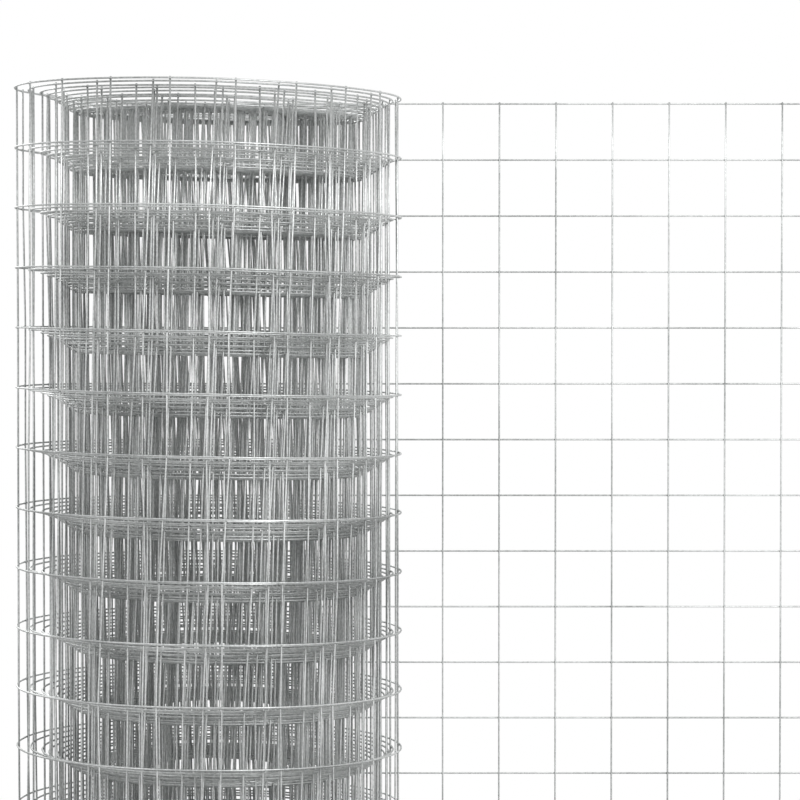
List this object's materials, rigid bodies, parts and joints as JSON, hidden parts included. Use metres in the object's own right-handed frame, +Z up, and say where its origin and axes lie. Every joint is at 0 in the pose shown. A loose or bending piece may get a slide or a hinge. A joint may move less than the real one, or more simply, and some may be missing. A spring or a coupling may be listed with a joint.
{
  "type": "roll of welded mesh fencing",
  "caption": "Roll of galvanised square welded-wire fencing stood on end, wound in loose turns round an open bore, with its last stretch drawn out flat to one side.",
  "frame": {"origin": "centre of the roll's bore, on the floor that the innermost turn stands on", "axes": "+Z up along the roll's axis; the flat run leaves the roll's back, at +Y, and runs towards +X"},
  "size_m": [0.8188, 0.3273, 1.027],
  "materials": {
    "galvanised_wire": "dull zinc coat"
  },
  "bodies": {
    "root": {"rolled_mesh": "galvanised_wire", "flat_run": "galvanised_wire"}
  },
  "joints": []
}
